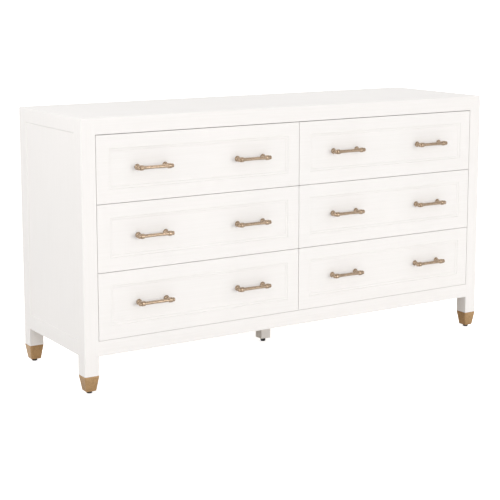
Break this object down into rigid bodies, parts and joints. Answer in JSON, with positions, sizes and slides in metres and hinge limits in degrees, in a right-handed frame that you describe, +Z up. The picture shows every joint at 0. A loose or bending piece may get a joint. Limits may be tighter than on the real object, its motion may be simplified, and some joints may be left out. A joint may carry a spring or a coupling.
{
  "type": "dresser",
  "caption": "Free-standing white lacquered dresser with recessed-panel drawers hung on side runners, square posts, brass foot caps and turned bar pulls.",
  "frame": {"origin": "on the floor under the middle of the whole object, pulls included", "axes": "+Z up, -Y the way the drawers open, +X to the right of someone facing the drawers"},
  "size_m": [1.676, 0.539, 0.907],
  "materials": {
    "white_lacquer": "smooth satin white lacquer on wood and board",
    "brushed_brass": "brushed, warm champagne-gold tone",
    "black_nylon": "matte moulded",
    "clear_hardwood": "clear sealed, fine straight grain",
    "plywood": "sanded veneer, unpainted"
  },
  "bodies": {
    "carcass": {"front_left_post": "white_lacquer", "front_left_ferrule": "brushed_brass", "front_left_glide": "black_nylon", "front_right_post": "white_lacquer", "front_right_ferrule": "brushed_brass", "front_right_glide": "black_nylon", "rear_left_post": "white_lacquer", "rear_left_ferrule": "brushed_brass", "rear_left_glide": "black_nylon", "rear_right_post": "white_lacquer", "rear_right_ferrule": "brushed_brass", "rear_right_glide": "black_nylon", "centre_support_leg": "white_lacquer", "centre_glide": "black_nylon", "top_panel": "white_lacquer", "front_top_rail": "white_lacquer", "front_bottom_rail": "white_lacquer", "rear_top_rail": "white_lacquer", "rear_bottom_rail": "white_lacquer", "left_side_panel": "white_lacquer", "right_side_panel": "white_lacquer", "bottom_panel": "plywood", "centre_partition": "plywood", "back_panel": "white_lacquer", "bottom_left_drawer_outer_runner": "clear_hardwood", "bottom_left_drawer_inner_runner": "clear_hardwood", "bottom_right_drawer_outer_runner": "clear_hardwood", "bottom_right_drawer_inner_runner": "clear_hardwood", "middle_left_drawer_outer_runner": "clear_hardwood", "middle_left_drawer_inner_runner": "clear_hardwood", "middle_right_drawer_outer_runner": "clear_hardwood", "middle_right_drawer_inner_runner": "clear_hardwood", "top_left_drawer_outer_runner": "clear_hardwood", "top_left_drawer_inner_runner": "clear_hardwood", "top_right_drawer_outer_runner": "clear_hardwood", "top_right_drawer_inner_runner": "clear_hardwood"},
    "bottom_left_drawer": {"bottom_left_drawer_front": "white_lacquer", "bottom_left_drawer_box": "clear_hardwood", "bottom_left_drawer_left_pull": "brushed_brass", "bottom_left_drawer_right_pull": "brushed_brass"},
    "bottom_right_drawer": {"bottom_right_drawer_front": "white_lacquer", "bottom_right_drawer_box": "clear_hardwood", "bottom_right_drawer_left_pull": "brushed_brass", "bottom_right_drawer_right_pull": "brushed_brass"},
    "middle_left_drawer": {"middle_left_drawer_front": "white_lacquer", "middle_left_drawer_box": "clear_hardwood", "middle_left_drawer_left_pull": "brushed_brass", "middle_left_drawer_right_pull": "brushed_brass"},
    "middle_right_drawer": {"middle_right_drawer_front": "white_lacquer", "middle_right_drawer_box": "clear_hardwood", "middle_right_drawer_left_pull": "brushed_brass", "middle_right_drawer_right_pull": "brushed_brass"},
    "top_left_drawer": {"top_left_drawer_front": "white_lacquer", "top_left_drawer_box": "clear_hardwood", "top_left_drawer_left_pull": "brushed_brass", "top_left_drawer_right_pull": "brushed_brass"},
    "top_right_drawer": {"top_right_drawer_front": "white_lacquer", "top_right_drawer_box": "clear_hardwood", "top_right_drawer_left_pull": "brushed_brass", "top_right_drawer_right_pull": "brushed_brass"}
  },
  "joints": [
    {"name": "bottom_left_drawer_slide", "type": "slide", "parent": "carcass", "child": "bottom_left_drawer", "axis": [0, -1, 0], "range_m": [0, 0.34]},
    {"name": "bottom_right_drawer_slide", "type": "slide", "parent": "carcass", "child": "bottom_right_drawer", "axis": [0, -1, 0], "range_m": [0, 0.34]},
    {"name": "middle_left_drawer_slide", "type": "slide", "parent": "carcass", "child": "middle_left_drawer", "axis": [0, -1, 0], "range_m": [0, 0.34]},
    {"name": "middle_right_drawer_slide", "type": "slide", "parent": "carcass", "child": "middle_right_drawer", "axis": [0, -1, 0], "range_m": [0, 0.34]},
    {"name": "top_left_drawer_slide", "type": "slide", "parent": "carcass", "child": "top_left_drawer", "axis": [0, -1, 0], "range_m": [0, 0.34]},
    {"name": "top_right_drawer_slide", "type": "slide", "parent": "carcass", "child": "top_right_drawer", "axis": [0, -1, 0], "range_m": [0, 0.34]}
  ]
}
